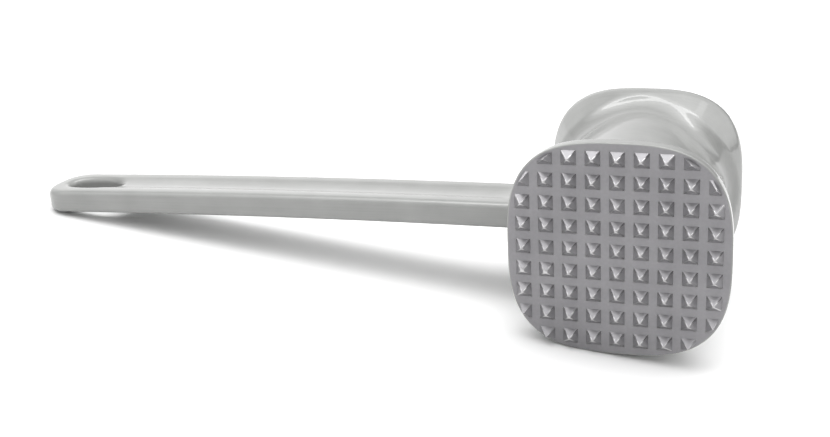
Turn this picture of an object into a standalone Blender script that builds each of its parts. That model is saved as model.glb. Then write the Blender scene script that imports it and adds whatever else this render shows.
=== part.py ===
"""A cast aluminium meat mallet: a waisted head with a toothed and a smooth face, on a flat arched handle.

Metres, Z up. The strike axis runs along Y, the toothed face looks towards -Y and the handle towards -X.
Every piece is modelled with the strike axis level and the handle along X. An empty then tips the
mallet to the angle at which it lies on a table, on its two rims and the end of its handle.
"""
import math

import bmesh
import bpy
from mathutils import Matrix, Vector

# Striking faces: both have the same rounded square outline
face_width = 0.0620          # across the flats of a face
face_squareness = 2.95       # exponent of the outline: 2 is a circle, larger is squarer
head_length = 0.0668         # from face plane to face plane, without the teeth
toothed_edge_radius = 0.0005 # rounding where the toothed face meets its rim
smooth_edge_radius = 0.0018  # the same at the smooth face, which must not cut into the meat

# Rim behind each face, and the waist between the two rims
rim_width = 0.0026           # straight part of the rim, measured back from the face plane
rim_back_radius = 0.0065     # convex rounding at the back of the rim
waist_step = 0.0049          # how far the waist lies in from the flats of the faces
waist_fillet_radius = 0.0117 # concave sweep from the waist up to a rim

# Teeth of the toothed face: flat-topped pyramids on a square grid
tooth_pitch = 0.0066
tooth_base = 0.0043
tooth_tip = 0.0005
tooth_height = 0.0024
tooth_root = 0.0004          # how far a tooth goes on below the face plane, into the cap
tooth_margin = 0.0011        # bare strip left between the teeth and the outline

# Handle: a flat bar, wide along the strike axis, that arches down towards its end
handle_reach = 0.2038        # from the strike axis to the end of the handle
handle_width = 0.0220
handle_root_thickness = 0.0083
handle_end_thickness = 0.0079
handle_drop = 0.0048         # how far the arch has come down at the end of the handle
handle_edge_radius = 0.0022
handle_corner_radius = 0.0088
handle_flare = 0.0045        # radius of the sweep with which the handle spreads onto the waist

# Hang hole near the end of the handle, and the finger groove that runs out of it
hole_length = 0.0192
hole_width = 0.0094
hole_squareness = 2.4        # exponent of the hole's outline: a little squarer than an ellipse
hole_end_web = 0.0061        # metal between the hole and the end of the handle
groove_width = 0.0120
groove_depth = 0.0009
groove_runout = 0.0120       # length over which the groove fades out before the head

# Joints: spigots on the face caps and a tenon on the handle, all seated in the waist
seat_gap = 0.0003            # clearance in every joint
cap_behind_rim = 0.0034      # how far a face cap goes on behind its straight rim
socket_wall = 0.0121         # metal of the waist round a spigot
spigot_length = 0.0080
tenon_shoulder = 0.0035      # step at each side of the tenon
tenon_cheek = 0.00165        # step above and below the tenon
tenon_length = 0.0120

# Working values of the modelling
cut_overrun = 0.0010         # how far a cutter reaches past what it cuts
merge_distance = 0.000003    # points closer together than this are one point
round_limit_share = 0.45     # an edge rounding takes at most this share of the wall it is on
steepest_tip = math.radians(45)
bisection_rounds = 40

# Fineness of the round shapes
outline_steps = 72
edge_steps = 3
rim_steps = 5
fillet_steps = 8
round_steps = 48
corner_steps = 6
hole_steps = 32
edge_resolution = 2
handle_stations = 14
flare_stations = 6
groove_steps = 3

# Finish: grey level and roughness of the lacquered metal
metal_content = 0.85
body_shade = 0.62
body_roughness = 0.35
face_shade = 0.48
face_roughness = 0.42
sharp_angle = math.radians(32)

half_head = head_length / 2
edge_radii = {-1: toothed_edge_radius, 1: smooth_edge_radius}
waist_radius = face_width / 2 - waist_step
cap_thickness = rim_width + cap_behind_rim
spigot_diameter = 2 * (waist_radius - socket_wall)
hole_middle = -handle_reach + hole_end_web + hole_length / 2
tenon_width = handle_width - 2 * tenon_shoulder
tenon_thickness = handle_root_thickness - 2 * tenon_cheek
hole_side_web = (handle_width - hole_width) / 2
thinnest_wall = min(hole_side_web, hole_end_web, handle_end_thickness)
handle_round = min(handle_edge_radius, round_limit_share * thinnest_wall)


def clear_scene():
    """Removes whatever the scene holds."""
    for thing in list(bpy.data.objects):
        bpy.data.objects.remove(thing, do_unlink=True)


def new_collection(name):
    """A collection in the scene."""
    collection = bpy.data.collections.new(name)
    bpy.context.scene.collection.children.link(collection)
    return collection


def cast_aluminium(name, shade, roughness):
    """A grey cast aluminium under clear lacquer."""
    material = bpy.data.materials.new(name)
    material.use_nodes = True
    shader = material.node_tree.nodes["Principled BSDF"]
    shader.inputs["Base Color"].default_value = (shade, shade, shade, 1.0)
    shader.inputs["Metallic"].default_value = metal_content
    shader.inputs["Roughness"].default_value = roughness
    return material


def mesh_object(name, shape, collection):
    """An object from a bmesh, which is freed."""
    mesh = bpy.data.meshes.new(name)
    shape.to_mesh(mesh)
    shape.free()
    thing = bpy.data.objects.new(name, mesh)
    collection.objects.link(thing)
    return thing


def hide_cutter(thing):
    """Marks an object as a cutter: it is drawn as wire and left out of renders."""
    thing.hide_render = True
    thing.display_type = "WIRE"
    return thing


def boolean(thing, other, operation):
    """Adds a Boolean modifier."""
    modifier = thing.modifiers.new(operation.lower() + "_" + other.name, "BOOLEAN")
    modifier.operation = operation
    modifier.solver = "EXACT"
    modifier.object = other
    return modifier


def apply_modifiers(thing):
    """Replaces an object's mesh by its evaluated mesh, and drops the modifiers."""
    bpy.context.view_layer.update()
    evaluated = thing.evaluated_get(bpy.context.evaluated_depsgraph_get())
    mesh = bpy.data.meshes.new_from_object(evaluated)
    thing.modifiers.clear()
    thing.data = mesh
    return thing


def arc_height(radius, along):
    """Height of a circle's arc over its centre, at a distance along from the centre."""
    return math.sqrt(max(0.0, radius * radius - along * along))


def outline_radius(angle, width):
    """Distance from the centre to a rounded square outline of the given width, at an angle round it."""
    across = abs(math.cos(angle)) ** face_squareness
    up = abs(math.sin(angle)) ** face_squareness
    return width / 2 * (across + up) ** (-1 / face_squareness)


def waist_turn(rim):
    """Angle that the skin has turned where the back of the rim flows into the sweep of the waist."""
    return math.acos(1 - (rim - waist_radius) / (rim_back_radius + waist_fillet_radius))


def head_radius(side, angle, depth):
    """Distance from the strike axis to the skin of the head, at an angle and a depth behind a face plane.

    side is -1 for the toothed end and 1 for the smooth end. The skin runs from the face edge over the
    straight rim, down a convex rounding and out of a concave fillet into the round waist. Both arcs
    meet at the same slope, whatever the step between the rim and the waist is at this angle.
    """
    rim = outline_radius(angle, face_width)
    edge = edge_radii[side]
    turn = waist_turn(rim)
    crest = rim_width + rim_back_radius * math.sin(turn)
    foot = crest + waist_fillet_radius * math.sin(turn)
    if depth < edge:
        return rim - edge + arc_height(edge, edge - depth)
    if depth <= rim_width:
        return rim
    if depth <= crest:
        return rim - rim_back_radius + arc_height(rim_back_radius, depth - rim_width)
    if depth <= foot:
        return waist_radius + waist_fillet_radius - arc_height(waist_fillet_radius, foot - depth)
    return waist_radius


def quarter_steps(length, steps):
    """Distances from 0 to a length, close together at the start, as on a quarter of an arc."""
    return [length * (1 - math.cos(math.pi / 2 * step / steps)) for step in range(steps + 1)]


def cap_depths(side):
    """Depths of the sections of a face cap, from its face plane to its joint."""
    depths = quarter_steps(edge_radii[side], edge_steps)
    depths += [rim_width + cap_behind_rim * step / rim_steps for step in range(rim_steps + 1)]
    return depths


def waist_depths():
    """Depths of the sections of one end of the waist, from its joint to where it is a plain cylinder."""
    turn = waist_turn(outline_radius(math.pi / 4, face_width))
    foot = rim_width + (rim_back_radius + waist_fillet_radius) * math.sin(turn)
    start = cap_thickness + seat_gap
    return [start + (foot - start) * step / fillet_steps for step in range(fillet_steps + 1)]


def angles_round():
    """Angles of the corners of every ring round the strike axis."""
    return [2 * math.pi * step / outline_steps for step in range(outline_steps)]


def end_rings(side, depths, growth):
    """Rings of the head's skin at depths behind one face, as their radii and their places on Y.

    side is -1 for the toothed end and 1 for the smooth end. growth is added all round.
    """
    rings = []
    for depth in depths:
        radii = [head_radius(side, angle, depth) + growth for angle in angles_round()]
        rings.append((radii, side * (half_head - depth)))
    return rings


def ring_stack(name, rings, collection):
    """A closed solid through rings round the strike axis, each given by its radii and its place on Y."""
    shape = bmesh.new()
    loops = []
    for radii, place in rings:
        loops.append([shape.verts.new((radius * math.cos(angle), place, radius * math.sin(angle)))
                      for radius, angle in zip(radii, angles_round())])
    for near, far in zip(loops, loops[1:]):
        for step in range(outline_steps):
            after = (step + 1) % outline_steps
            shape.faces.new((near[step], far[step], far[after], near[after]))
    shape.faces.new(loops[0])
    shape.faces.new(list(reversed(loops[-1])))
    bmesh.ops.recalc_face_normals(shape, faces=shape.faces)
    return mesh_object(name, shape, collection)


def rod(name, diameter, start, length, collection):
    """A round rod along Y, from a start over a length."""
    shape = bmesh.new()
    turn = Matrix.Rotation(math.pi / 2, 4, "X")
    place = Matrix.Translation((0, start + length / 2, 0)) @ turn
    bmesh.ops.create_cone(shape, cap_ends=True, segments=round_steps, radius1=diameter / 2,
                          radius2=diameter / 2, depth=length, matrix=place)
    return mesh_object(name, shape, collection)


def box(name, low, high, collection):
    """A box between two corners."""
    low = Vector(low)
    high = Vector(high)
    shape = bmesh.new()
    bmesh.ops.create_cube(shape, size=1.0)
    bmesh.ops.scale(shape, vec=high - low, verts=shape.verts)
    bmesh.ops.translate(shape, vec=(low + high) / 2, verts=shape.verts)
    return mesh_object(name, shape, collection)


def face_cap(name, side, collection, cutters):
    """A face cap with its spigot. side is -1 for the toothed end and 1 for the smooth end."""
    cap = ring_stack(name, end_rings(side, cap_depths(side), 0), collection)
    reach = spigot_length + cap_thickness / 2
    inner = side * (half_head - cap_thickness - spigot_length)
    start = min(inner, inner + side * reach)
    spigot = hide_cutter(rod(name + "_spigot", spigot_diameter, start, reach, cutters))
    boolean(cap, spigot, "UNION")
    return apply_modifiers(cap)


def tooth_places():
    """Centres of the teeth on the face: a square grid without what falls outside the outline."""
    count = int(face_width / tooth_pitch)
    middle = (count - 1) / 2
    places = []
    for row in range(count):
        for column in range(count):
            across = (column - middle) * tooth_pitch
            up = (row - middle) * tooth_pitch
            if math.hypot(across, up) < outline_radius(math.atan2(up, across), face_width):
                places.append((across, up))
    return places


def teeth(cutters):
    """All the teeth as square pyramids on the face plane, trimmed at the margin inside the outline."""
    spread = (tooth_base - tooth_tip) / tooth_height
    shape = bmesh.new()
    stand = Matrix.Rotation(math.pi / 2, 4, "X") @ Matrix.Rotation(math.pi / 4, 4, "Z")
    for across, up in tooth_places():
        middle = Vector((across, -half_head - (tooth_height - tooth_root) / 2, up))
        bmesh.ops.create_cone(shape, cap_ends=True, segments=4,
                              radius1=(tooth_base + spread * tooth_root) / math.sqrt(2),
                              radius2=tooth_tip / math.sqrt(2), depth=tooth_height + tooth_root,
                              matrix=Matrix.Translation(middle) @ stand)
    pyramids = mesh_object("teeth", shape, cutters)
    outline = [outline_radius(angle, face_width - 2 * tooth_margin) for angle in angles_round()]
    inside = cut_overrun + tooth_root - half_head
    outside = -half_head - tooth_height - cut_overrun
    field = hide_cutter(ring_stack("teeth_field", [(outline, outside), (outline, inside)], cutters))
    boolean(pyramids, field, "INTERSECT")
    return hide_cutter(apply_modifiers(pyramids))


def toothed_face(collection, cutters):
    """The cap that carries the teeth."""
    cap = face_cap("toothed_face", -1, collection, cutters)
    boolean(cap, teeth(cutters), "UNION")
    return apply_modifiers(cap)


def head_waist(collection, cutters):
    """The round waist, flared at both ends, with a socket for each spigot and a mortise for the tenon."""
    front = end_rings(-1, waist_depths(), 0)
    back = end_rings(1, waist_depths(), 0)
    waist = ring_stack("head_waist", front + back[::-1], collection)
    depth = spigot_length + seat_gap
    for side, name in ((-1, "front_socket"), (1, "back_socket")):
        inner = side * (half_head - cap_thickness - depth)
        outer = side * (half_head - cap_thickness + cut_overrun)
        bore = spigot_diameter + 2 * seat_gap
        socket = rod(name, bore, min(inner, outer), depth + cut_overrun, cutters)
        boolean(waist, hide_cutter(socket), "DIFFERENCE")
    half_width = tenon_width / 2 + seat_gap
    half_height = tenon_thickness / 2 + seat_gap
    mouth = -waist_radius - cut_overrun
    bottom = -waist_radius + tenon_length + seat_gap
    mortise = box("mortise", (mouth, -half_width, -half_height), (bottom, half_width, half_height), cutters)
    boolean(waist, hide_cutter(mortise), "DIFFERENCE")
    return apply_modifiers(waist)


def rounded_outline(corners):
    """Points of a flat outline. corners are (x, y, radius), anticlockwise, a zero radius staying sharp."""
    points = []
    for index, (x, y, radius) in enumerate(corners):
        here = Vector((x, y))
        before = (Vector(corners[index - 1][:2]) - here).normalized()
        after = (Vector(corners[(index + 1) % len(corners)][:2]) - here).normalized()
        if radius == 0:
            points.append(here)
            continue
        centre = here + radius * (before + after)
        for step in range(corner_steps + 1):
            turn = math.pi / 2 * step / corner_steps
            points.append(centre - radius * (math.cos(turn) * after + math.sin(turn) * before))
    return points


def hole_outline(growth):
    """Points of the outline of the hang hole, a long superellipse, moved outwards by a growth."""
    points = []
    for step in range(hole_steps):
        turn = 2 * math.pi * step / hole_steps
        along = math.copysign(abs(math.cos(turn)) ** (2 / hole_squareness), math.cos(turn))
        across = math.copysign(abs(math.sin(turn)) ** (2 / hole_squareness), math.sin(turn))
        slope = hole_squareness - 1
        outward = Vector((math.copysign(abs(along) ** slope, along) / hole_length,
                          math.copysign(abs(across) ** slope, across) / hole_width))
        edge = Vector((hole_middle + along * hole_length / 2, across * hole_width / 2))
        points.append(edge + growth * outward.normalized())
    return points


def add_outline(curve, points):
    """Adds a closed outline to a flat curve."""
    spline = curve.splines.new("POLY")
    spline.points.add(len(points) - 1)
    for target, point in zip(spline.points, points):
        target.co = (point.x, point.y, 0, 1)
    spline.use_cyclic_u = True


def handle_drawing(collection):
    """The flat outline of the handle with its hang hole. The bevel then adds the rounding outside it."""
    root = -waist_radius + tenon_length
    end = handle_round - handle_reach
    side = handle_width / 2 - handle_round
    corner = min(handle_corner_radius, handle_width / 2) - handle_round
    outline = rounded_outline([(root, side, 0), (end, side, corner), (end, -side, corner), (root, -side, 0)])
    curve = bpy.data.curves.new("handle_drawing", "CURVE")
    curve.dimensions = "2D"
    curve.fill_mode = "BOTH"
    curve.extrude = handle_root_thickness / 2 - handle_round
    curve.bevel_depth = handle_round
    curve.bevel_resolution = edge_resolution
    add_outline(curve, outline)
    add_outline(curve, hole_outline(handle_round))
    drawing = bpy.data.objects.new("handle_drawing", curve)
    collection.objects.link(drawing)
    return drawing


def handle_blank(collection):
    """The handle as a flat bar with rounded edges and its hang hole, before it is bent."""
    drawing = handle_drawing(collection)
    bpy.context.view_layer.update()
    evaluated = drawing.evaluated_get(bpy.context.evaluated_depsgraph_get())
    mesh = bpy.data.meshes.new_from_object(evaluated)
    shape = bmesh.new()
    shape.from_mesh(mesh)
    bmesh.ops.remove_doubles(shape, verts=shape.verts, dist=merge_distance)
    blank = mesh_object("handle", shape, collection)
    blank.matrix_world = drawing.matrix_world
    bpy.data.objects.remove(drawing, do_unlink=True)
    return blank


def slice_along(shape, axis, places):
    """Adds edge loops to a bmesh where planes across an axis cut it."""
    normal = Vector((0, 0, 0))
    normal[axis] = 1
    for place in places:
        bmesh.ops.bisect_plane(shape, geom=shape.verts[:] + shape.edges[:] + shape.faces[:],
                               dist=merge_distance, plane_co=normal * place, plane_no=normal)


def flare_height(along, radius):
    """Height of a sweep of a radius over the bar, at a distance along from where it starts."""
    return radius - arc_height(radius, min(max(along, 0.0), radius))


def groove_at(x, y):
    """Depth of the finger groove at a place on the flat bar. It runs from inside the hole to its fade."""
    out_of_hole = min(max((x - hole_middle) / (hole_length / 2), 0.0), 1.0)
    to_root = -waist_radius - handle_flare - x
    fade = min(max(to_root / groove_runout, 0.0), 1.0)
    across = min(abs(y) / (groove_width / 2), 1.0)
    return groove_depth * (1 - across ** 2) * fade * out_of_hole


def bent_handle(point):
    """Carries a point of the flat bar to the finished handle: grooved, tapered, flared and arched."""
    half_width = handle_width / 2
    half_height = handle_root_thickness / 2
    share = -point.x / handle_reach
    taper = 1 - (1 - handle_end_thickness / handle_root_thickness) * share
    rise_start = -math.sqrt((waist_radius + handle_flare) ** 2 - (half_height + handle_flare) ** 2)
    rise = flare_height(point.x - rise_start, handle_flare)
    spread = flare_height(point.x + waist_radius + handle_flare, handle_flare)
    grooved = 1 - groove_at(point.x, point.y) / half_height
    height = point.z * grooved * (taper + rise / half_height)
    width = point.y * (1 + spread / half_width)
    return Vector((point.x, width, height - handle_drop * share ** 2))


def handle(collection, cutters):
    """The arched handle with its hang hole and finger groove, its foot fitted to the head, and a tenon."""
    piece = handle_blank(collection)
    shape = bmesh.new()
    shape.from_mesh(piece.data)
    root = -waist_radius - handle_flare
    lengthwise = [root - (handle_reach + root) * step / handle_stations for step in range(1, handle_stations)]
    lengthwise += [root + handle_flare * math.sin(math.pi / 2 * step / flare_stations)
                   for step in range(flare_stations)]
    slice_along(shape, 0, lengthwise)
    half_groove = groove_width / 2
    crosswise = [half_groove * step / groove_steps for step in range(-groove_steps, groove_steps + 1)]
    slice_along(shape, 1, crosswise)
    for vert in shape.verts:
        vert.co = bent_handle(vert.co)
    shape.to_mesh(piece.data)
    shape.free()
    front = end_rings(-1, cap_depths(-1) + waist_depths(), seat_gap)
    back = end_rings(1, cap_depths(1) + waist_depths(), seat_gap)
    seat = ring_stack("head_seat", front + back[::-1], cutters)
    boolean(piece, hide_cutter(seat), "DIFFERENCE")
    low = (root, -tenon_width / 2, -tenon_thickness / 2)
    high = (tenon_length - waist_radius, tenon_width / 2, tenon_thickness / 2)
    boolean(piece, hide_cutter(box("tenon", low, high, cutters)), "UNION")
    return apply_modifiers(piece)


def lowest(pieces, tip):
    """The lowest height that any of the pieces reaches once the mallet is tipped by an angle."""
    return min(vert.co.x * math.sin(tip) + vert.co.z * math.cos(tip)
               for piece in pieces for vert in piece.data.vertices)


def resting_tip(head, bar):
    """The angle at which the head and the end of the handle touch the table together."""
    low = 0.0
    high = steepest_tip
    for _ in range(bisection_rounds):
        middle = (low + high) / 2
        if lowest(head, middle) < lowest(bar, middle):
            low = middle
        else:
            high = middle
    return (low + high) / 2


def lay_down(pieces, tip):
    """Parents the pieces to an empty that tips the mallet and sets it on the table, centred on the origin."""
    rest = bpy.data.objects.new("mallet_rest", None)
    bpy.context.scene.collection.objects.link(rest)
    turn = Matrix.Rotation(-tip, 3, "Y")
    spots = [turn @ vert.co for piece in pieces for vert in piece.data.vertices]
    rest.location.x = -(min(spot.x for spot in spots) + max(spot.x for spot in spots)) / 2
    rest.location.y = -(min(spot.y for spot in spots) + max(spot.y for spot in spots)) / 2
    rest.location.z = -min(spot.z for spot in spots)
    rest.rotation_euler.y = -tip
    for piece in pieces:
        piece.parent = rest
    return rest


def finish(piece, shade, roughness):
    """Gives a piece its material and smooth shading between its sharp edges."""
    piece.data.materials.clear()
    piece.data.materials.append(cast_aluminium(piece.name + "_metal", shade, roughness))
    piece.data.shade_smooth()
    piece.data.set_sharp_from_angle(angle=sharp_angle)


def tell_place(what, rest, place):
    """Prints where a place on the mallet has come to lie."""
    spot = rest.matrix_world @ place
    print(what, [round(value, 6) for value in spot])


def build_mallet():
    """Models the mallet's pieces and lays it down."""
    clear_scene()
    parts = new_collection("meat_mallet")
    cutters = new_collection("cutters")
    toothed = toothed_face(parts, cutters)
    waist = head_waist(parts, cutters)
    smooth = face_cap("smooth_face", 1, parts, cutters)
    bar = handle(parts, cutters)
    finish(toothed, face_shade, face_roughness)
    for piece in (waist, smooth, bar):
        finish(piece, body_shade, body_roughness)
    head = [toothed, waist, smooth]
    tip = resting_tip(head, [bar])
    rest = lay_down(head + [bar], tip)
    bpy.context.view_layer.update()
    print("tip in degrees", round(math.degrees(tip), 3))
    tell_place("middle of the smooth face", rest, Vector((0, half_head, 0)))
    hole_height = bent_handle(Vector((hole_middle, 0, 0))).z
    tell_place("middle of the hang hole", rest, Vector((hole_middle, 0, hole_height)))


build_mallet()
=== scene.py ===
# %% [markdown]
# # A cast meat mallet
#
# A meat mallet is one aluminium casting: a waisted head with two rounded square faces, one of them
# toothed, on a flat arched handle with a hang hole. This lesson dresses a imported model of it. The
# model is loaded first and stays where it is, because every piece made here takes its place from it.

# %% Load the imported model
import math
import random

import bmesh
import bpy
from mathutils import Matrix, Vector


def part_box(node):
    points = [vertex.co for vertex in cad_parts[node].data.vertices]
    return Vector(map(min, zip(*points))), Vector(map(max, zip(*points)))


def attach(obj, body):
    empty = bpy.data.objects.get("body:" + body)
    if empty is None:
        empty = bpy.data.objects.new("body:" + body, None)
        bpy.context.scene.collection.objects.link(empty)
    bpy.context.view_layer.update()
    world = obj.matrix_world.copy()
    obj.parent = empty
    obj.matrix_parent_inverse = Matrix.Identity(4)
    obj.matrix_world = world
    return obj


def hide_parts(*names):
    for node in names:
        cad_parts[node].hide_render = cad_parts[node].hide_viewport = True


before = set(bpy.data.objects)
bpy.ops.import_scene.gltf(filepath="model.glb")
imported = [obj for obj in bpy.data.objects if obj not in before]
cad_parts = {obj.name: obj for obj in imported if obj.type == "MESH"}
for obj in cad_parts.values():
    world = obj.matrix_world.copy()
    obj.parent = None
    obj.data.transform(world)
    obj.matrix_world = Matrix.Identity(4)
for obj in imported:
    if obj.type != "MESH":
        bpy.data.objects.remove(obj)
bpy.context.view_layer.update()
print("nodes", sorted(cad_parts))

# %% [markdown]
# ## The mallet's own frame
#
# The mallet lies on its two rims and the end of its handle, so its handle points slightly down.
# Shapes are far easier to describe upright, so every piece is modelled with the strike axis along Y,
# the handle along -X and the middle of the head at the origin. One matrix then lays it down. The
# middle of the head is the middle of the smooth face's box, and the tip is the mallet's resting angle.

# %% Where the head lies
head_length = 0.0668
resting_tip = math.radians(6.539)
low, high = (Vector(corner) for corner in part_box("smooth_face"))
head_middle = Vector(((low.x + high.x) / 2, high.y - head_length / 2, (low.z + high.z) / 2))
lie_down = Matrix.Translation(head_middle) @ Matrix.Rotation(-resting_tip, 4, "Y")
print("middle of the head", [round(value, 4) for value in head_middle])

# %% [markdown]
# ## The camera
#
# The photograph was taken a little above the table and close to the toothed face. Its picture is a
# crop, so the lens looks past the middle of the frame, and a small shift brings that back.

# %% Place the camera
camera_place = (0.11258, -0.30010, 0.14412)
camera_turn = (math.radians(71.481), math.radians(-4.175), math.radians(15.494))
camera_lens = 45.669
camera_sensor = 36.0
camera_shift = (-0.0807, -0.0708)
camera_near = 0.01


def place_camera():
    """The camera at the photograph's viewing angle."""
    camera = bpy.data.cameras.new("camera")
    camera.lens = camera_lens
    camera.sensor_width = camera_sensor
    camera.shift_x, camera.shift_y = camera_shift
    camera.clip_start = camera_near
    camera.dof.use_dof = False
    holder = bpy.data.objects.new("camera", camera)
    holder.location = camera_place
    holder.rotation_euler = camera_turn
    bpy.context.scene.collection.objects.link(holder)
    bpy.context.scene.camera = holder


place_camera()
bpy.context.scene.view_settings.view_transform = "Standard"

# %% [markdown]
# ## The studio
#
# The floor is a large white sheet, bright enough to burn out, so the mallet seems to lie on nothing.
# A broad soft lamp hangs overhead and lights everything that faces up. A narrower and brighter strip
# lamp in its middle adds the core of the shadow, and the clear lacquer mirrors it as the thin lines on
# the head. Both lamps are turned about the upright, which is what slants the lines on the head.
#
# The walls are painted with light instead of being built. Their brightness follows the turn about X:
# from the rear horizon, where a soft glow lightens the top of the handle, past a dimmer zone and a
# wide bright band overhead, which softens the shadow, to the camera's side, which fades to a dim grey
# and so keeps the near side of the handle dark. The left and the right end of the studio have ramps of
# their own, which the walls blend into, and which shade the two sides of the head differently.

# %% Floor, lamps and walls
floor_size = 12.0
full_roughness = 1.0
floor_white = 0.84
studio_turn = math.radians(30)
lamp_height = 3.0
lamp_gap = 0.01
broad_lamp = {"size": (4.2, 1.23), "place": (0.0, 0.245), "radiance": 1.15}
strip_lamp = {"size": (3.0, 0.40), "place": (0.0, 0.32), "radiance": 4.8}
wall_stops = ((0.0, 1.3), (0.14, 1.3), (0.21, 0.9), (0.30, 0.75), (0.36, 2.3), (0.40, 3.3), (0.57, 3.1),
              (0.62, 1.7), (0.70, 1.1), (0.77, 0.6), (1.0, 0.4))
left_stops = ((0.0, 0.8), (0.22, 0.8), (0.28, 0.3), (0.38, 0.3), (0.44, 1.8), (0.56, 1.8), (0.64, 0.9),
              (1.0, 0.9))
right_stops = ((0.0, 0.2), (0.15, 0.2), (0.25, 1.0), (0.40, 1.6), (0.44, 2.0), (0.56, 1.8), (0.64, 0.6),
               (1.0, 0.45))
left_range = (-0.25, -0.80)
right_range = (0.15, 0.65)


def lay_floor():
    """A white floor under the mallet."""
    shape = bmesh.new()
    bmesh.ops.create_grid(shape, x_segments=1, y_segments=1, size=floor_size / 2)
    mesh = bpy.data.meshes.new("floor")
    shape.to_mesh(mesh)
    shape.free()
    floor = bpy.data.objects.new("floor", mesh)
    bpy.context.scene.collection.objects.link(floor)
    paper = bpy.data.materials.new("floor_paper")
    paper.use_nodes = True
    shader = paper.node_tree.nodes["Principled BSDF"]
    shader.inputs["Base Color"].default_value = (floor_white, floor_white, floor_white, 1.0)
    shader.inputs["Roughness"].default_value = full_roughness
    shader.inputs["Specular IOR Level"].default_value = 0.0
    mesh.materials.append(paper)


def hang_lamp(name, lamp_values, height):
    """A soft lamp that hangs level overhead and shines down."""
    lamp = bpy.data.lights.new(name, "AREA")
    lamp.shape = "RECTANGLE"
    lamp.size, lamp.size_y = lamp_values["size"]
    lamp.energy = lamp_values["radiance"] * math.pi * lamp.size * lamp.size_y
    holder = bpy.data.objects.new(name, lamp)
    spot = Matrix.Rotation(studio_turn, 3, "Z") @ Vector((*lamp_values["place"], height))
    holder.location = spot
    holder.rotation_euler = (0, 0, studio_turn)
    bpy.context.scene.collection.objects.link(holder)


def calculate(nodes, links, operation, first, second):
    """A number calculated from two others, each a socket or a constant."""
    node = nodes.new("ShaderNodeMath")
    node.operation = operation
    for socket, value in zip(node.inputs, (first, second)):
        if isinstance(value, bpy.types.NodeSocket):
            links.new(value, socket)
        else:
            socket.default_value = value
    return node.outputs["Value"]


def glow_ramp(nodes, links, share, stops):
    """A grey that follows the given stops, each a share of the half turn and its brightness."""
    ramp = nodes.new("ShaderNodeValToRGB")
    while len(ramp.color_ramp.elements) < len(stops):
        ramp.color_ramp.elements.new(1.0)
    for element, (place, glow) in zip(ramp.color_ramp.elements, stops):
        element.position = place
        element.color = (glow, glow, glow, 1.0)
    links.new(share, ramp.inputs["Fac"])
    return ramp.outputs["Color"]


def paint_walls():
    """The studio's walls and its two sides, as brightness by the turn about X."""
    world = bpy.data.worlds.new("studio")
    world.use_nodes = True
    nodes = world.node_tree.nodes
    links = world.node_tree.links
    where = nodes.new("ShaderNodeTexCoord")
    spin = nodes.new("ShaderNodeVectorRotate")
    spin.rotation_type = "Z_AXIS"
    spin.inputs["Angle"].default_value = -studio_turn
    links.new(where.outputs["Generated"], spin.inputs["Vector"])
    split = nodes.new("ShaderNodeSeparateXYZ")
    links.new(spin.outputs["Vector"], split.inputs["Vector"])
    turn = calculate(nodes, links, "ARCTAN2", split.outputs["Z"], split.outputs["Y"])
    share = calculate(nodes, links, "DIVIDE", turn, math.pi)
    glow = glow_ramp(nodes, links, share, wall_stops)
    for stops, (start, end) in ((left_stops, left_range), (right_stops, right_range)):
        edge = nodes.new("ShaderNodeMapRange")
        edge.inputs["From Min"].default_value = start
        edge.inputs["From Max"].default_value = end
        links.new(split.outputs["X"], edge.inputs["Value"])
        mix = nodes.new("ShaderNodeMix")
        mix.data_type = "RGBA"
        links.new(edge.outputs["Result"], mix.inputs["Factor"])
        links.new(glow, mix.inputs["A"])
        links.new(glow_ramp(nodes, links, share, stops), mix.inputs["B"])
        glow = mix.outputs["Result"]
    links.new(glow, nodes["Background"].inputs["Color"])
    bpy.context.scene.world = world


lay_floor()
hang_lamp("broad_lamp", broad_lamp, lamp_height)
hang_lamp("strip_lamp", strip_lamp, lamp_height - lamp_gap)
paint_walls()
print("lamps", [lamp.name for lamp in bpy.data.lights])

# %% [markdown]
# ## Silver lacquer over cast metal
#
# The casting is sprayed with a silver lacquer: fine flakes under a clear coat. The flakes scatter
# nearly all the light, so the base is a plain grey that is hardly metallic, and the clear coat gives
# the thin sharp highlights. Lacquer is never quite flat, so a fine noise ripples the coat, and a slow
# noise makes the tone uneven. The streaks left by the belt grinder show through it. They run round
# the head and along the handle, and stretching the noise along one direction draws them. The noise is
# turned with the handle first, or the streaks would cross the tipped handle at a slant.

# %% Finish of the casting
lacquer_finish = {"dark": (0.250, 0.253, 0.247), "light": (0.300, 0.303, 0.296), "metallic": 0.04,
                  "roughness": (0.38, 0.46), "coat": 1.0, "relief": 0.000004}
coat_roughness = 0.045
base_specular = 0.0
noise_range = (0.3, 0.7)
ripple_size = 0.0016
ripple_depth = 0.000006
mottle_size = 0.012
streak_share = 0.35
arch_tip = math.radians(1.35)
streak_width = 0.0005
streak_length = 0.03
noise_details = {"mottle": 4.0, "ripple": 1.0, "streaks": 3.0}


def same_scales(size):
    """The scales of a noise whose lumps have one size in every direction."""
    return (1 / size, 1 / size, 1 / size)


def noise(nodes, links, source, scales, detail):
    """A noise texture on object coordinates, with its own scale along each axis."""
    mapping = nodes.new("ShaderNodeMapping")
    mapping.inputs["Scale"].default_value = scales
    links.new(source, mapping.inputs["Vector"])
    texture = nodes.new("ShaderNodeTexNoise")
    texture.inputs["Scale"].default_value = 1.0
    texture.inputs["Detail"].default_value = detail
    links.new(mapping.outputs["Vector"], texture.inputs["Vector"])
    return texture.outputs["Fac"]


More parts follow.
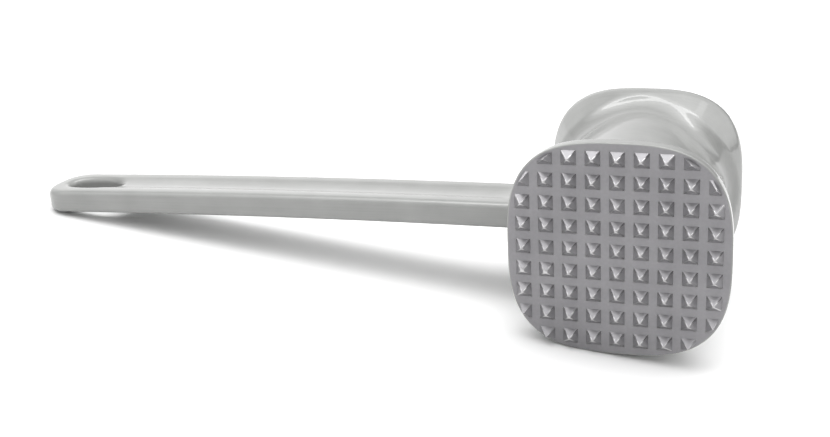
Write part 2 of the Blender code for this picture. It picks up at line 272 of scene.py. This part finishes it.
def mixed_colour(nodes, links, amount, first, second):
    """A colour that runs from the first to the second as the amount runs over the noise range."""
    ramp = nodes.new("ShaderNodeValToRGB")
    ramp.color_ramp.elements[0].position = noise_range[0]
    ramp.color_ramp.elements[0].color = (*first, 1.0)
    ramp.color_ramp.elements[1].position = noise_range[1]
    ramp.color_ramp.elements[1].color = (*second, 1.0)
    links.new(amount, ramp.inputs["Fac"])
    return ramp.outputs["Color"]


def mapped(nodes, links, amount, low, high):
    """A number that runs from low to high as the amount runs over the noise range."""
    change = nodes.new("ShaderNodeMapRange")
    change.inputs["From Min"].default_value = noise_range[0]
    change.inputs["From Max"].default_value = noise_range[1]
    change.inputs["To Min"].default_value = low
    change.inputs["To Max"].default_value = high
    links.new(amount, change.inputs["Value"])
    return change.outputs["Result"]


def bumped(nodes, links, height, depth, below=None):
    """A surface normal raised by a height map, on top of another one."""
    bump = nodes.new("ShaderNodeBump")
    bump.inputs["Strength"].default_value = 1.0
    bump.inputs["Distance"].default_value = depth
    links.new(height, bump.inputs["Height"])
    if below:
        links.new(below, bump.inputs["Normal"])
    return bump.outputs["Normal"]


def silver_lacquer(name, streak_scales, finish):
    """A lacquered or bare metal, with grinding streaks in the direction where their scale is small."""
    material = bpy.data.materials.new(name)
    material.use_nodes = True
    nodes = material.node_tree.nodes
    links = material.node_tree.links
    where = nodes.new("ShaderNodeTexCoord")
    level = nodes.new("ShaderNodeVectorRotate")
    level.rotation_type = "Y_AXIS"
    level.inputs["Angle"].default_value = resting_tip + arch_tip
    links.new(where.outputs["Object"], level.inputs["Vector"])
    place = level.outputs["Vector"]
    mottle = noise(nodes, links, place, same_scales(mottle_size), noise_details["mottle"])
    ripple = noise(nodes, links, place, same_scales(ripple_size), noise_details["ripple"])
    streaks = noise(nodes, links, place, streak_scales, noise_details["streaks"])
    shader = nodes["Principled BSDF"]
    shader.inputs["Metallic"].default_value = finish["metallic"]
    shader.inputs["Specular IOR Level"].default_value = base_specular
    shader.inputs["Coat Weight"].default_value = finish["coat"]
    shader.inputs["Coat Roughness"].default_value = coat_roughness
    slow = calculate(nodes, links, "MULTIPLY", mottle, 1 - streak_share)
    fine = calculate(nodes, links, "MULTIPLY", streaks, streak_share)
    uneven = calculate(nodes, links, "ADD", slow, fine)
    colour = mixed_colour(nodes, links, uneven, finish["dark"], finish["light"])
    links.new(colour, shader.inputs["Base Color"])
    links.new(mapped(nodes, links, streaks, *finish["roughness"]), shader.inputs["Roughness"])
    rippled = bumped(nodes, links, ripple, ripple_depth)
    links.new(rippled, shader.inputs["Coat Normal"])
    links.new(bumped(nodes, links, streaks, finish["relief"], rippled), shader.inputs["Normal"])
    return material


across_streaks = 1 / streak_width
along_streaks = 1 / streak_length
head_streaks = (along_streaks, across_streaks, along_streaks)
handle_streaks = (along_streaks, across_streaks, across_streaks)
head_lacquer = silver_lacquer("head_lacquer", head_streaks, lacquer_finish)
handle_lacquer = silver_lacquer("handle_lacquer", handle_streaks, lacquer_finish)

# %% [markdown]
# ## The toothed face's duller metal
#
# Between the teeth the metal shows: darker than the lacquer, with a faint violet tint and no clear
# coat. It is the same recipe with darker and more metallic values, and a fine even grain in place of
# the streaks. The rounded ridges of the teeth get a lighter and more metallic version of it, a painted
# highlight for the light that the ridges catch. The flat tops of the worn teeth get it too, as wear.

# %% Finish of the toothed face
toothed_finish = {"dark": (0.222, 0.218, 0.227), "light": (0.272, 0.267, 0.277), "metallic": 0.45,
                  "roughness": (0.28, 0.34), "coat": 0.0, "relief": 0.0000006}
# Lighter, more metallic metal: a painted highlight on the rounded ridges, and real wear on the worn
# tops.
ridge_sheen_and_wear_finish = {"dark": (0.46, 0.455, 0.46), "light": (0.54, 0.535, 0.54), "metallic": 0.9,
               "roughness": (0.28, 0.36), "coat": 0.0, "relief": 0.0000006}
toothed_grain = 0.0009
toothed_metal = silver_lacquer("toothed_metal", same_scales(toothed_grain), toothed_finish)
ridge_sheen_and_wear_metal = silver_lacquer("ridge_sheen_and_wear_metal", same_scales(toothed_grain), ridge_sheen_and_wear_finish)

# %% [markdown]
# ## The skin of the head
#
# Both faces share one rounded square outline, a superellipse: between a circle (exponent 2) and a
# square. Behind each face a straight rim turns over a convex rounding and sweeps down a concave
# fillet to the round waist. The corners stand out further than the flats, so there a gently sloped
# land takes the outline in first, and the same sweep follows all round. One function gives the
# distance from the strike axis to the skin at any angle and depth, and rings are laid out with it.

# %% Shape of the head
face_width = 0.0620
face_squareness = 2.95
edge_radii = {-1: 0.0005, 1: 0.0018}
rim_width = 0.0026
rim_back_radius = 0.0065
waist_step = 0.0049
waist_fillet_radius = 0.0117
waist_radius = face_width / 2 - waist_step
half_head = head_length / 2
land_slope = math.radians(25)
sweep_turn = math.acos(1 - waist_step / (rim_back_radius + waist_fillet_radius))


def arc_height(radius, along):
    """Height of a circle's arc over its centre, at a distance along from the centre."""
    return math.sqrt(max(0.0, radius * radius - along * along))


def outline_radius(angle, width):
    """Distance from the centre to a rounded square outline, at an angle round it."""
    across = abs(math.cos(angle)) ** face_squareness
    up = abs(math.sin(angle)) ** face_squareness
    return width / 2 * (across + up) ** (-1 / face_squareness)


def head_radius(side, angle, depth):
    """Distance from the strike axis to the skin of the head, at an angle and a depth behind a face.

    side is -1 for the toothed end and 1 for the smooth end, whose edge is rounder.
    """
    edge = edge_radii[side]
    rim = outline_radius(angle, face_width)
    land_start = rim_width + rim_back_radius * math.sin(land_slope)
    land_end = land_start + (rim - face_width / 2) / math.tan(land_slope)
    crest = land_end + rim_back_radius * (math.sin(sweep_turn) - math.sin(land_slope))
    foot = crest + waist_fillet_radius * math.sin(sweep_turn)
    if depth < edge:
        return rim - edge + arc_height(edge, edge - depth)
    if depth <= rim_width:
        return rim
    if depth <= land_start:
        return rim - rim_back_radius + arc_height(rim_back_radius, depth - rim_width)
    if depth <= land_end:
        fall = rim_back_radius * (1 - math.cos(land_slope))
        return rim - fall - (depth - land_start) * math.tan(land_slope)
    if depth <= crest:
        along = depth - land_end + rim_back_radius * math.sin(land_slope)
        return face_width / 2 - rim_back_radius + arc_height(rim_back_radius, along)
    if depth <= foot:
        return waist_radius + waist_fillet_radius - arc_height(waist_fillet_radius, foot - depth)
    return waist_radius


print("face corner", round(outline_radius(math.pi / 4, face_width) * 1000, 2), "mm from the axis")

# %% [markdown]
# ## Rings drawn out into a solid
#
# A turned part would be a spin, but this head is square at one depth and round at another. So a disc
# is drawn out ring by ring: each extrusion copies the last ring, and every copied vertex is then
# moved out to the skin at its own angle. Where a flat meets a rounding, an extra ring close by keeps
# the shading of the flat from bleeding into the rounding.

# %% Draw out rings
ring_corners = 192
edge_rings = 8
straight_rings = 4
sweep_ring_step = 0.00025
support_gap = 0.00004
close_gap = support_gap / 4
merging_gap = support_gap / 10
cutting_gap = support_gap / 20


def add_piece(name, shape, material):
    """Lays a finished bmesh down on the table as a piece, with smooth shading between sharp edges."""
    bmesh.ops.transform(shape, matrix=lie_down, verts=shape.verts)
    mesh = bpy.data.meshes.new(name)
    shape.to_mesh(mesh)
    shape.free()
    mesh.materials.append(material)
    piece = bpy.data.objects.new(name, mesh)
    bpy.context.scene.collection.objects.link(piece)
    mesh.shade_smooth()
    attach(piece, "root")
    print(name, len(mesh.polygons), "faces")
    return piece


def ring_edges(ring):
    """The edges between the vertices of one ring."""
    members = set(ring)
    edges = {edge for vert in ring for edge in vert.link_edges if edge.other_vert(vert) in members}
    return sorted(edges, key=lambda edge: edge.index)


def move_ring(ring, section):
    """Moves a ring out to the skin. section is its end of the head, its depth there and its growth."""
    side, depth, growth = section
    for vert in ring:
        angle = math.atan2(vert.co.z, vert.co.x)
        radius = head_radius(side, angle, depth) + growth
        vert.co = (radius * math.cos(angle), side * (half_head - depth), radius * math.sin(angle))


def drawn_out(sections):
    """A closed solid drawn out of a disc through the given sections."""
    shape = bmesh.new()
    upright = Matrix.Rotation(math.pi / 2, 4, "X")
    disc = bmesh.ops.create_circle(shape, cap_ends=True, segments=ring_corners, radius=1.0,
                                   matrix=upright)
    ring = disc["verts"]
    move_ring(ring, sections[0])
    for section in sections[1:]:
        drawn = bmesh.ops.extrude_edge_only(shape, edges=ring_edges(ring))
        ring = [item for item in drawn["geom"] if isinstance(item, bmesh.types.BMVert)]
        move_ring(ring, section)
    bmesh.ops.edgeloop_fill(shape, edges=ring_edges(ring))
    bmesh.ops.recalc_face_normals(shape, faces=shape.faces)
    return shape


def sharpen_flat_ends(shape, places):
    """Marks the edges round the hidden flat ends as sharp, so that their shading stays off the skin."""
    for edge in shape.edges:
        for place in places:
            if all(abs(vert.co.y - place) < close_gap for vert in edge.verts):
                edge.smooth = False


print("rings of", ring_corners, "corners")

# %% [markdown]
# ## Head in three pieces
#
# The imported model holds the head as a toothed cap, a waist and a smooth cap, and the same three
# pieces are dressed here. The real head shows no joint, so the pieces meet exactly, on one ring, and
# a ring a hair's breadth from the joint on each side gives both the same shading there.

# %% Caps and waist
cap_behind_rim = 0.0034
seat_gap = 0.0003
joint_depth = rim_width + cap_behind_rim + seat_gap / 2


def cap_skin_depths(side):
    """Depths of a cap's rings, from its face plane to the joint, with the growth of each ring."""
    edge = edge_radii[side]
    rings = [(0.0, -edge / 2), (0.0, -support_gap), (0.0, 0.0)]
    for step in range(1, edge_rings + 1):
        turn = math.pi / 2 * step / edge_rings
        rings.append((edge * (1 - math.cos(turn)), 0.0))
    for step in range(1, straight_rings + 1):
        rings.append((edge + (rim_width - edge) * step / straight_rings, 0.0))
    count = round((joint_depth - rim_width) / sweep_ring_step)
    for step in range(1, count):
        rings.append((rim_width + (joint_depth - rim_width) * step / count, 0.0))
    rings.append((joint_depth - support_gap, 0.0))
    rings.append((joint_depth, 0.0))
    return rings


def waist_skin_depths():
    """Depths of the rings of one end of the waist, from the joint to where the waist is plain."""
    corner = outline_radius(math.pi / 4, face_width)
    foot = rim_width + (rim_back_radius + waist_fillet_radius) * math.sin(sweep_turn)
    foot += (corner - face_width / 2) / math.tan(land_slope)
    count = round((foot - joint_depth) / sweep_ring_step)
    rings = [joint_depth, joint_depth + support_gap]
    rings += [joint_depth + (foot - joint_depth) * step / count for step in range(1, count + 1)]
    return rings


def face_cap(name, side, material):
    """A cap of the head. side is -1 for the toothed end and 1 for the smooth end."""
    sections = [(side, depth, growth) for depth, growth in cap_skin_depths(side)]
    shape = drawn_out(sections)
    sharpen_flat_ends(shape, [side * (half_head - joint_depth)])
    return add_piece(name, shape, material)


def waist():
    """The waist between the two caps."""
    depths = waist_skin_depths()
    sections = [(-1, depth, 0.0) for depth in depths]
    sections += [(1, depth, 0.0) for depth in reversed(depths)]
    shape = drawn_out(sections)
    sharpen_flat_ends(shape, [joint_depth - half_head, half_head - joint_depth])
    return add_piece("waist_skin", shape, head_lacquer)


toothed_cap = face_cap("toothed_cap_skin", -1, head_lacquer)
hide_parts("toothed_face")
smooth_cap = face_cap("smooth_cap_skin", 1, head_lacquer)
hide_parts("smooth_face")
waist_skin = waist()
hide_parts("head_waist")

# %% [markdown]
# ## The plate between the teeth
#
# The face's own plane has the duller finish, and it ends where the bright edge rounding begins. The
# flat faces of the toothed cap get the second material, which needs no piece of its own.

# %% Duller plane of the toothed face
toothed_cap.data.materials.append(toothed_metal)
plane_place = head_middle.y - half_head
for face in toothed_cap.data.polygons:
    if abs(face.center.y - plane_place) < close_gap:
        face.material_index = 1

# %% [markdown]
# ## Teeth
#
# The teeth are square pyramids on a square grid, like the waffle of a cast meat hammer. A tooth starts
# as a four-sided cone. Those at the rim are cut off along the outline. The ridges are then rounded,
# because casting never leaves a sharp edge, and with them the tip, while the facets stay flat. As this
# takes the tip down, the tooth is stretched back to its height. Each tooth differs a little from the
# next, and four near the lower left corner, named by column and row from that corner, have lost some
# of their height to wear. Rounded faces are given the second material, the lighter metal, as they are
# made: a painted highlight along the ridges. The flat tops of the worn teeth get it as wear. The
# number of faces is kept low, as there are dozens of teeth.

# %% Tooth field
tooth_pitch = 0.0066
tooth_base = 0.0043
tooth_tip = 0.0005
tooth_height = 0.0024
tooth_root = 0.0004
tooth_margin = 0.0011
tooth_sides = 4
tooth_ridge_radius = 0.00023
ridge_steps = 4
tooth_unevenness = 0.12
worn_teeth = {(0, 3): 0.0005, (1, 3): 0.00055, (1, 1): 0.0002, (2, 1): 0.0003}
chance_seed = 7
chance = random.Random(chance_seed)


def tooth_places():
    """Centres of the teeth, on a square grid within the outline, and the height that each has lost."""
    count = int(face_width / tooth_pitch)
    middle = (count - 1) / 2
    places = []
    for row in range(count):
        for column in range(count):
            across = (column - middle) * tooth_pitch
            up = (row - middle) * tooth_pitch
            if math.hypot(across, up) < outline_radius(math.atan2(up, across), face_width):
                places.append((across, up, worn_teeth.get((column, row), 0.0)))
    return places


def cut_at_margin(shape, across, up):
    """Cuts a tooth off where it would cross the margin inside the outline."""
    angle = math.atan2(up, across)
    reach = outline_radius(angle, face_width - 2 * tooth_margin)
    rim = Vector((reach * math.cos(angle), 0, reach * math.sin(angle)))
    power = face_squareness - 1
    across_part = math.copysign(abs(rim.x) ** power, rim.x)
    up_part = math.copysign(abs(rim.z) ** power, rim.z)
    outward = Vector((across_part, 0, up_part)).normalized()
    bmesh.ops.bisect_plane(shape, geom=shape.verts[:] + shape.edges[:] + shape.faces[:],
                           plane_co=rim, plane_no=outward, clear_outer=True)
    open_edges = [edge for edge in shape.edges if edge.is_boundary]
    if open_edges:
        bmesh.ops.edgeloop_fill(shape, edges=open_edges)


def worn_down(shape, top):
    """Cuts a tooth off flat at a place on the strike axis, and closes it."""
    bmesh.ops.bisect_plane(shape, geom=shape.verts[:] + shape.edges[:] + shape.faces[:],
                           plane_co=(0, top, 0), plane_no=(0, -1, 0), clear_outer=True)
    open_edges = [edge for edge in shape.edges if edge.is_boundary]
    filled = bmesh.ops.edgeloop_fill(shape, edges=open_edges)
    for face in filled["faces"]:
        face.material_index = 1


def tooth(across, up, lost):
    """One tooth as a bmesh, rooted a little below the face plane, less the height that it has lost."""
    spread = (tooth_base - tooth_tip) / tooth_height
    full_height = tooth_base / spread + tooth_root
    shape = bmesh.new()
    stand = Matrix.Rotation(math.pi / 2, 4, "X") @ Matrix.Rotation(math.pi / 4, 4, "Z")
    middle = Vector((across, tooth_root - half_head - full_height / 2, up))
    corner_reach = (tooth_base + spread * tooth_root) / math.sqrt(2)
    bmesh.ops.create_cone(shape, cap_ends=True, segments=tooth_sides, radius1=corner_reach,
                          radius2=0.0, depth=full_height, matrix=Matrix.Translation(middle) @ stand)
    bmesh.ops.remove_doubles(shape, verts=shape.verts, dist=support_gap)
    cut_at_margin(shape, across, up)
    ridges = []
    for edge in shape.edges:
        first, second = edge.verts
        if abs(first.co.y - second.co.y) > support_gap:
            ridges.append(edge)
    ridge_radius = tooth_ridge_radius * (1 + chance.uniform(-tooth_unevenness, tooth_unevenness))
    rounded = bmesh.ops.bevel(shape, geom=ridges, offset=ridge_radius, offset_type="OFFSET",
                              segments=ridge_steps, profile=0.5, affect="EDGES", material=-1,
                              clamp_overlap=True)
    # The rounded ridges and tip take the lighter metal, a painted highlight.
    for face in rounded["faces"]:
        face.material_index = 1
    foot = tooth_root - half_head
    reach = max(foot - vert.co.y for vert in shape.verts)
    if reach > tooth_height:
        stretch = (tooth_height + tooth_root) / reach
        for vert in shape.verts:
            vert.co.y = foot + (vert.co.y - foot) * stretch
    if lost:
        worn_down(shape, lost - half_head - tooth_height)
    return shape


def tooth_field():
    """All the teeth as one piece."""
    field = bmesh.new()
    spare = bpy.data.meshes.new("tooth")
    for across, up, lost in tooth_places():
        shape = tooth(across, up, lost)
        shape.to_mesh(spare)
        shape.free()
        field.from_mesh(spare)
    bpy.data.meshes.remove(spare)
    bmesh.ops.recalc_face_normals(field, faces=field.faces)
    piece = add_piece("tooth_field", field, toothed_metal)
    # The second material is a painted highlight on the ridges and wear on the worn tops.
    piece.data.materials.append(ridge_sheen_and_wear_metal)
    for face in piece.data.polygons:
        face.use_smooth = face.material_index == 1
    return piece


teeth = tooth_field()

# %% [markdown]
# ## The flat bar of the handle
#
# The handle is flat, wide and rounded, so it starts as a bar with bevelled corners. The hang hole is
# cut with a plug: a cylinder whose corners are moved onto a superellipse. A broad side with a hole
# in it cannot be one face, so the bar is cut lengthwise through the hole before its edges are rounded.
# All edges that turn sharply are rounded in one go, so the hole's edges match the outer ones.

# %% Bar with its hang hole
handle_reach = 0.2038
handle_width = 0.0220
handle_root_thickness = 0.0083
handle_end_thickness = 0.0079
handle_edge_radius = 0.0022
handle_corner_radius = 0.0088
hole_length = 0.0192
hole_width = 0.0094
hole_squareness = 2.4
hole_end_web = 0.0061
hole_middle = -handle_reach + hole_end_web + hole_length / 2
foot_depth = 0.0060
corner_steps = 14
edge_steps = 7
hole_corners = 72
level_angle = math.radians(1)
sharp_angle = math.radians(60)


def bar(low, high, corner):
    """A bar between two corners, with the upright edges of its low end rounded."""
    low = Vector(low)
    high = Vector(high)
    shape = bmesh.new()
    bmesh.ops.create_cube(shape, size=1.0)
    bmesh.ops.scale(shape, vec=high - low, verts=shape.verts)
    bmesh.ops.translate(shape, vec=(low + high) / 2, verts=shape.verts)
    rounded = []
    for edge in shape.edges:
        first, second = edge.verts
        upright = abs(first.co.z - second.co.z) > corner / 2
        if upright and abs(first.co.x - low.x) < corner / 2:
            rounded.append(edge)
    bmesh.ops.bevel(shape, geom=rounded, offset=corner, offset_type="OFFSET", segments=corner_steps,
                    profile=0.5, affect="EDGES", material=-1, clamp_overlap=False)
    return shape


def hole_plug():
    """An upright plug with the outline of the hang hole, which is a little squarer than an ellipse."""
    shape = bmesh.new()
    bmesh.ops.create_cone(shape, cap_ends=True, segments=hole_corners, radius1=1.0, radius2=1.0,
                          depth=2 * handle_width)
    for vert in shape.verts:
        length = math.copysign(abs(vert.co.x) ** (2 / hole_squareness), vert.co.x)
        width = math.copysign(abs(vert.co.y) ** (2 / hole_squareness), vert.co.y)
        vert.co = (hole_middle + length * hole_length / 2, width * hole_width / 2, vert.co.z)
    return shape


def holder_of(name, shape):
    """A plain object that holds a bmesh while a modifier works on it."""
    mesh = bpy.data.meshes.new(name)
    shape.to_mesh(mesh)
    shape.free()
    thing = bpy.data.objects.new(name, mesh)
    bpy.context.scene.collection.objects.link(thing)
    return thing


def cut_bar():
    """The bar with the hang hole cut through it, as a bmesh."""
    half_width = handle_width / 2
    half_height = handle_root_thickness / 2
    root = foot_depth - waist_radius
    low = (-handle_reach, -half_width, -half_height)
    high = (root, half_width, half_height)
    blank = holder_of("blank", bar(low, high, handle_corner_radius))
    cutter = holder_of("cutter", hole_plug())
    cut = blank.modifiers.new("hang_hole", "BOOLEAN")
    cut.operation = "DIFFERENCE"
    cut.solver = "EXACT"
    cut.object = cutter
    bpy.context.view_layer.update()
    evaluated = blank.evaluated_get(bpy.context.evaluated_depsgraph_get())
    shape = bmesh.new()
    shape.from_mesh(evaluated.to_mesh())
    evaluated.to_mesh_clear()
    for thing in (blank, cutter):
        bpy.data.objects.remove(thing, do_unlink=True)
    return shape


def rounded_bar():
    """The bar with its long edges and the edges of its hole rounded."""
    shape = cut_bar()
    everything = shape.verts[:] + shape.edges[:] + shape.faces[:]
    halved = bmesh.ops.bisect_plane(shape, geom=everything, dist=cutting_gap,
                                    plane_co=(0, 0, 0), plane_no=(0, 1, 0))
    for item in halved["geom_cut"]:
        if isinstance(item, bmesh.types.BMEdge):
            item.seam = True
    bmesh.ops.dissolve_limit(shape, angle_limit=level_angle, verts=shape.verts, edges=shape.edges,
                             delimit={"SEAM"})
    root = foot_depth - waist_radius
    crossing = []
    for edge in shape.edges:
        at_root = all(abs(vert.co.x - root) < support_gap for vert in edge.verts)
        if not at_root and edge.calc_face_angle(0.0) > sharp_angle:
            crossing.append(edge)
    bmesh.ops.bevel(shape, geom=crossing, offset=handle_edge_radius, offset_type="OFFSET",
                    segments=edge_steps, profile=0.5, affect="EDGES", material=-1, clamp_overlap=False)
    return shape


flat_bar = rounded_bar()
print("flat bar", len(flat_bar.faces), "faces")

# %% [markdown]
# ## Bending the bar
#
# The flat bar is sliced both ways, so that it can bend, and one function then carries every vertex to
# its place: a shallow finger groove along both broad sides, a slight taper, an arch that comes down
# towards the end, and a sweep with which the bar spreads onto the waist. Slicing first and bending
# after keeps the hole, its rounding and the groove in one surface.
#
# On the casting the bar runs into the waist without a line. The sweep is therefore shaped as if a ball
# had rolled round the bar in the corner between the two. Where it reaches the waist, its edge is marked
# sharp, so that the hidden part inside the waist doesn't darken it.

# %% Bend the handle
handle_drop = 0.0048
handle_flare = 0.0045
groove_width = 0.0120
groove_depth = 0.0009
groove_runout = 0.0120
length_slices = 90
flare_slices = 15
groove_slices = 8


def facing(point):
    """The direction in which the bar's skin faces, at a point of its rounded cross-section."""
    across = handle_width / 2 - handle_edge_radius
    up = handle_root_thickness / 2 - handle_edge_radius
    core = Vector((0, max(-across, min(across, point.y)), max(-up, min(up, point.z))))
    return (Vector((0, point.y, point.z)) - core).normalized()


def swept_onto_waist(point, outward, share):
    """A place on the sweep from the bar to the waist, at a share of the way between them.

    The sweep is what a ball leaves that rolls along the corner and touches both.
    """
    up = point.z + handle_flare * outward.z
    along = -math.sqrt((waist_radius + handle_flare) ** 2 - up ** 2)
    ball = Vector((along, point.y + handle_flare * outward.y, up))
    to_waist = Vector((-along, 0, -up)).normalized()
    if share < 1:
        return ball + (-outward).slerp(to_waist, share) * handle_flare
    return ball + to_waist * handle_flare * share


def groove_at(x, y):
    """Depth of the finger groove at a place on the flat bar."""
    out_of_hole = min(max((x - hole_middle) / (hole_length / 2), 0.0), 1.0)
    fade = min(max((-waist_radius - handle_flare - x) / groove_runout, 0.0), 1.0)
    across = min(abs(y) / (groove_width / 2), 1.0)
    return groove_depth * (1 - across ** 2) * fade * out_of_hole


def bent(point):
    """Carries a point of the flat bar to the finished handle."""
    sweep_start = -waist_radius - handle_flare
    share = -min(point.x, sweep_start) / handle_reach
    taper = 1 - (1 - handle_end_thickness / handle_root_thickness) * share
    grooved = 1 - groove_at(point.x, point.y) / (handle_root_thickness / 2)
    place = Vector((point.x, point.y, point.z * grooved * taper - handle_drop * share ** 2))
    if point.x <= sweep_start:
        return place
    return swept_onto_waist(place, facing(point), (point.x - sweep_start) / handle_flare)


def slice_along(shape, axis, places):
    """Adds edge loops where planes across an axis cut the shape."""
    normal = Vector((0, 0, 0))
    normal[axis] = 1
    for place in places:
        everything = shape.verts[:] + shape.edges[:] + shape.faces[:]
        bmesh.ops.bisect_plane(shape, geom=everything, dist=cutting_gap,
                               plane_co=normal * place, plane_no=normal)


def handle_skin():
    """The finished handle as a piece."""
    shape = flat_bar
    start = -waist_radius - handle_flare
    slices = [start - (handle_reach + start) * step / length_slices for step in range(1, length_slices)]
    slices += [start + handle_flare * step / flare_slices for step in range(flare_slices)]
    slices += [-waist_radius - support_gap, -waist_radius]
    slice_along(shape, 0, slices)
    for edge in shape.edges:
        edge.smooth = any(abs(vert.co.x + waist_radius) > close_gap for vert in edge.verts)
    half_groove = groove_width / 2
    steps = range(-groove_slices, groove_slices + 1)
    slice_along(shape, 1, [half_groove * step / groove_slices for step in steps])
    bmesh.ops.remove_doubles(shape, verts=shape.verts, dist=merging_gap)
    for vert in shape.verts:
        vert.co = bent(vert.co)
    bmesh.ops.recalc_face_normals(shape, faces=shape.faces)
    return add_piece("handle_skin", shape, handle_lacquer)


handle = handle_skin()
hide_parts("handle")
